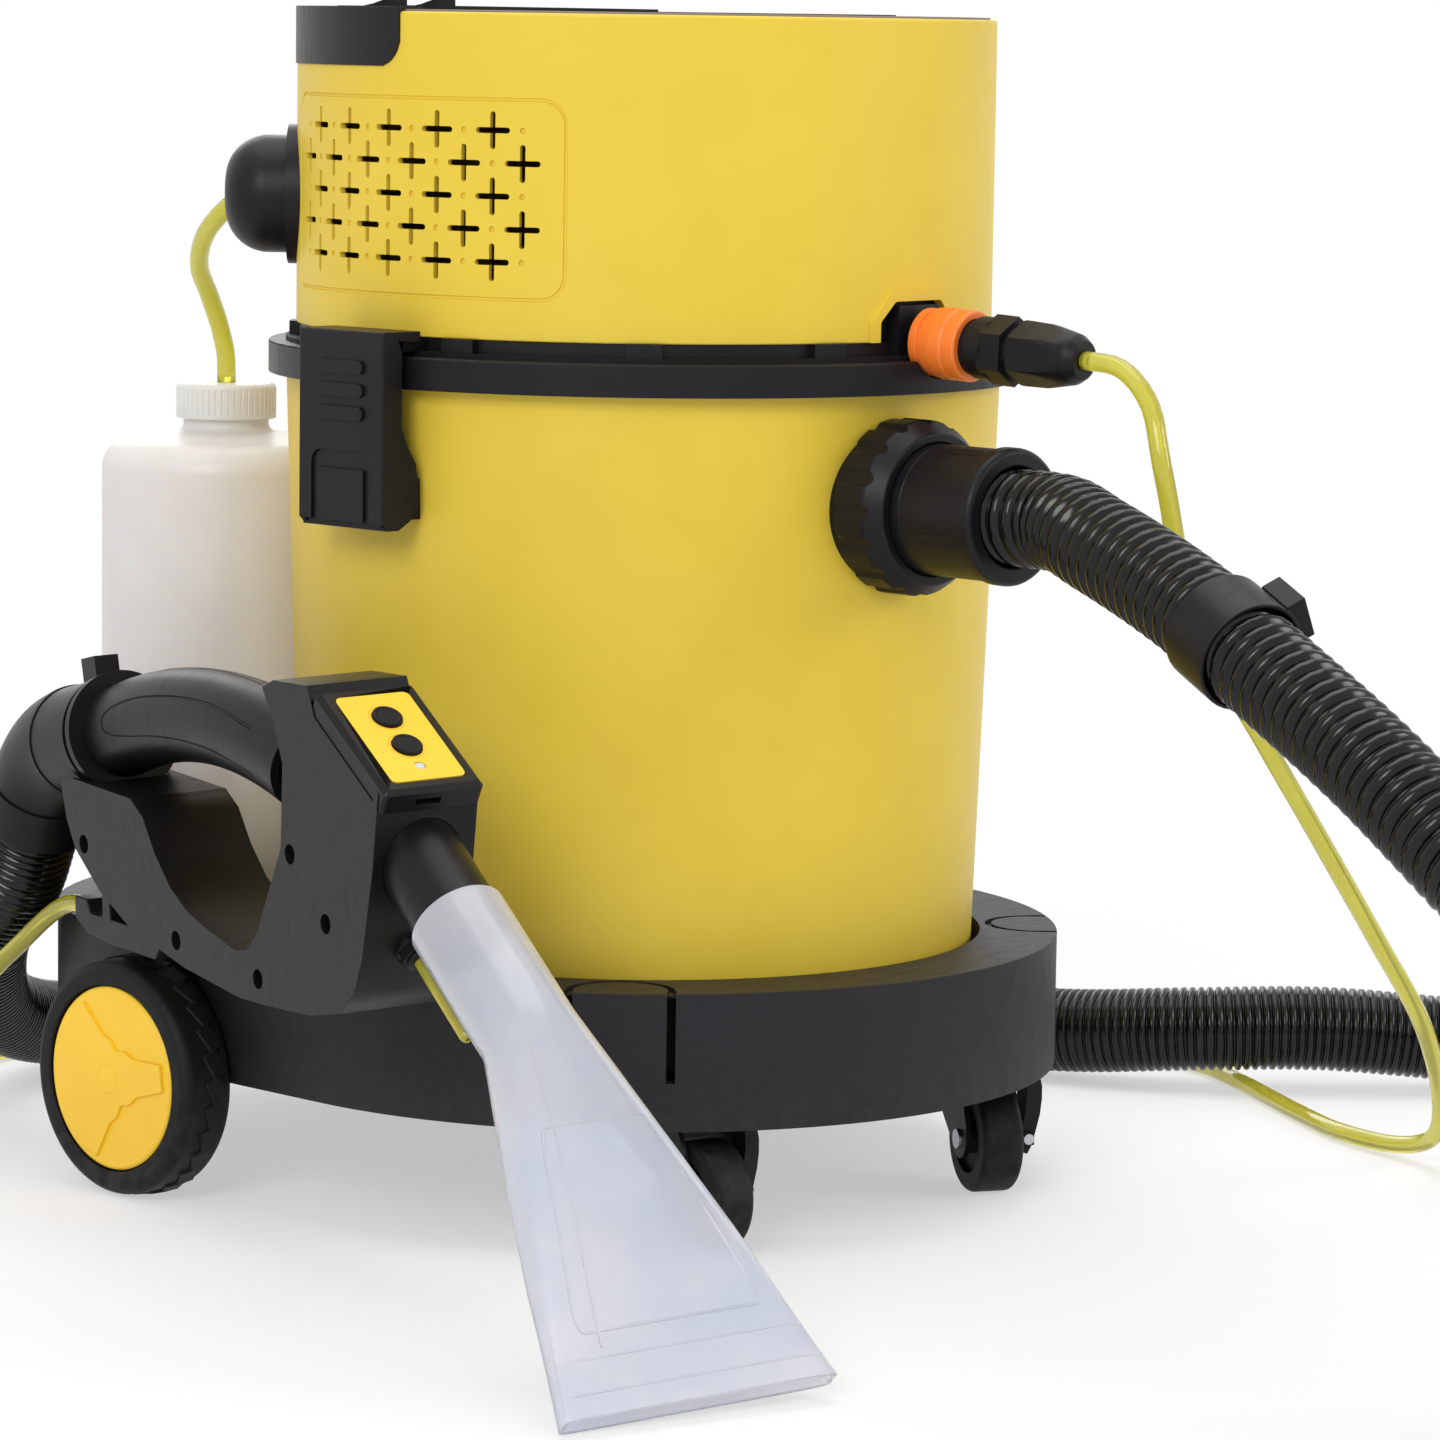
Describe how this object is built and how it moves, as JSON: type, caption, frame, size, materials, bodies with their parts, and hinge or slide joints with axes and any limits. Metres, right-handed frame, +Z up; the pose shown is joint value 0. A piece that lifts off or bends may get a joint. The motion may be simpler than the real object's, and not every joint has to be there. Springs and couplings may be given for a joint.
{
  "type": "spot extractor",
  "caption": "Wheeled drum spot extractor with a vented motor head, a solution bottle, a ribbed suction hose, a solution tube and a hand tool with a clear nozzle.",
  "frame": {"origin": "on the floor, on the axis of the drum tank", "axes": "+Z up along the drum's axis, -Y towards the machine's front, where the suction hose leaves, and -X towards its right side, where the hand tool leans"},
  "size_m": [0.9198, 1.1838, 0.545],
  "materials": {
    "yellow_plastic": "satin",
    "hub_yellow": "satin",
    "black_plastic": "fine grain",
    "hose_black": "gloss",
    "tyre_black": "satin",
    "soft_black": "satin",
    "steel": "satin",
    "orange_plastic": "satin",
    "grey_plastic": "satin",
    "bottle_white": "translucent",
    "clear_plastic": "frosted clear",
    "tube_yellow": "translucent"
  },
  "bodies": {
    "machine": {"base_tray": "black_plastic", "axle": "steel", "recovery_tank": "yellow_plastic", "tank_rim": "black_plastic", "rim_gasket": "soft_black", "latch_brackets": "black_plastic", "latch_pins": "steel", "inlet_spigot": "black_plastic", "hose_cuff": "black_plastic", "inlet_deflector": "black_plastic", "float_cage": "black_plastic", "head_base": "black_plastic", "head_shell": "yellow_plastic", "top_panel": "grey_plastic", "rear_band": "black_plastic", "cord_gland": "black_plastic", "vacuum_motor": "steel", "pump": "black_plastic", "intake_boss": "black_plastic", "intake_tube": "tube_yellow", "bottle": "bottle_white", "bottle_cap": "bottle_white", "coupler_body": "black_plastic", "coupler_nut": "black_plastic", "solution_tube": "tube_yellow", "suction_hose": "hose_black", "hose_clips": "black_plastic", "tool_shell_right": "black_plastic", "tool_shell_left": "black_plastic", "grip_tube": "black_plastic", "tool_elbow": "black_plastic", "control_pod": "black_plastic", "keypad": "hub_yellow", "neck_tube": "black_plastic", "nozzle": "clear_plastic", "tool_fittings": "black_plastic"},
    "right_rear_wheel": {"right_tyre": "tyre_black", "right_wheel": "black_plastic", "right_hub_cap": "hub_yellow"},
    "right_caster": {"right_caster_fork": "black_plastic", "right_caster_pin": "steel"},
    "right_caster_roller": {"right_caster_wheel": "soft_black"},
    "right_brake_lever": {"right_caster_brake": "black_plastic"},
    "right_latch_lever": {"right_latch": "black_plastic"},
    "left_rear_wheel": {"left_tyre": "tyre_black", "left_wheel": "black_plastic", "left_hub_cap": "hub_yellow"},
    "left_caster": {"left_caster_fork": "black_plastic", "left_caster_pin": "steel"},
    "left_caster_roller": {"left_caster_wheel": "soft_black"},
    "left_brake_lever": {"left_caster_brake": "black_plastic"},
    "left_latch_lever": {"left_latch": "black_plastic"},
    "inlet_nut_ring": {"inlet_nut": "black_plastic"},
    "coupler_ring": {"coupler_sleeve": "orange_plastic"},
    "float": {"float_ball": "orange_plastic"},
    "fan_wheel": {"fan": "steel"},
    "suction_switch_rocker": {"suction_switch": "black_plastic"},
    "pump_switch_rocker": {"pump_switch": "black_plastic"},
    "spray_button_cap": {"spray_button": "black_plastic"},
    "suction_button_cap": {"suction_button": "black_plastic"}
  },
  "joints": [
    {"name": "right_rear_wheel_roll", "type": "hinge", "parent": "machine", "child": "right_rear_wheel", "pos_m": [-0.198, 0.112, 0.055], "axis": [1, 0, 0], "continuous": true},
    {"name": "right_caster_swivel", "type": "hinge", "parent": "machine", "child": "right_caster", "pos_m": [-0.09963, -0.11874, 0.06], "axis": [0, 0, 1], "continuous": true},
    {"name": "right_caster_roll", "type": "hinge", "parent": "right_caster", "child": "right_caster_roller", "pos_m": [-0.10501, -0.14927, 0.025], "axis": [0.9848, -0.1736, 0], "continuous": true},
    {"name": "right_brake_press", "type": "hinge", "parent": "right_caster", "child": "right_brake_lever", "pos_m": [-0.08778, -0.1523, 0.025], "axis": [0.1736, 0.9848, 0], "range_deg": [0, 15]},
    {"name": "right_latch_open", "type": "hinge", "parent": "machine", "child": "right_latch_lever", "pos_m": [-0.173, 0, 0.326], "axis": [0, -1, 0], "range_deg": [0, 70]},
    {"name": "left_rear_wheel_roll", "type": "hinge", "parent": "machine", "child": "left_rear_wheel", "pos_m": [0.198, 0.112, 0.055], "axis": [1, 0, 0], "continuous": true},
    {"name": "left_caster_swivel", "type": "hinge", "parent": "machine", "child": "left_caster", "pos_m": [0.09963, -0.11874, 0.06], "axis": [0, 0, 1], "continuous": true},
    {"name": "left_caster_roll", "type": "hinge", "parent": "left_caster", "child": "left_caster_roller", "pos_m": [0.08508, -0.14611, 0.025], "axis": [0.8829, -0.4695, 0], "continuous": true},
    {"name": "left_brake_press", "type": "hinge", "parent": "left_caster", "child": "left_brake_lever", "pos_m": [0.10053, -0.15432, 0.025], "axis": [0.4695, 0.8829, 0], "range_deg": [0, 15]},
    {"name": "left_latch_open", "type": "hinge", "parent": "machine", "child": "left_latch_lever", "pos_m": [0.173, 0, 0.326], "axis": [0, 1, 0], "range_deg": [0, 70]},
    {"name": "inlet_nut_turn", "type": "hinge", "parent": "machine", "child": "inlet_nut_ring", "pos_m": [-0.00618, -0.17689, 0.325], "axis": [-0.0349, -0.9994, 0], "range_deg": [0, 90]},
    {"name": "sleeve_pull", "type": "slide", "parent": "machine", "child": "coupler_ring", "axis": [0.0697, -0.9962, -0.0523], "range_m": [0, 0.004], "stiffness_N_per_m": 400, "springref_m": -0.002},
    {"name": "float_rise", "type": "slide", "parent": "machine", "child": "float", "axis": [0, 0, 1], "range_m": [0, 0.054]},
    {"name": "fan_spin", "type": "hinge", "parent": "machine", "child": "fan_wheel", "pos_m": [0, 0, 0.402], "axis": [0, 0, 1], "continuous": true},
    {"name": "suction_switch_rock", "type": "hinge", "parent": "machine", "child": "suction_switch_rocker", "pos_m": [-0.108, 0.03, 0.5395], "axis": [1, 0, 0], "range_deg": [0, 20]},
    {"name": "pump_switch_rock", "type": "hinge", "parent": "machine", "child": "pump_switch_rocker", "pos_m": [-0.108, 0.062, 0.5395], "axis": [1, 0, 0], "range_deg": [0, 20]},
    {"name": "spray_button_press", "type": "slide", "parent": "machine", "child": "spray_button_cap", "axis": [0.145, 0.4951, -0.8566], "range_m": [0, 0.001], "stiffness_N_per_m": 400, "springref_m": -0.0005},
    {"name": "suction_button_press", "type": "slide", "parent": "machine", "child": "suction_button_cap", "axis": [0.145, 0.4951, -0.8566], "range_m": [0, 0.001], "stiffness_N_per_m": 400, "springref_m": -0.0005}
  ]
}
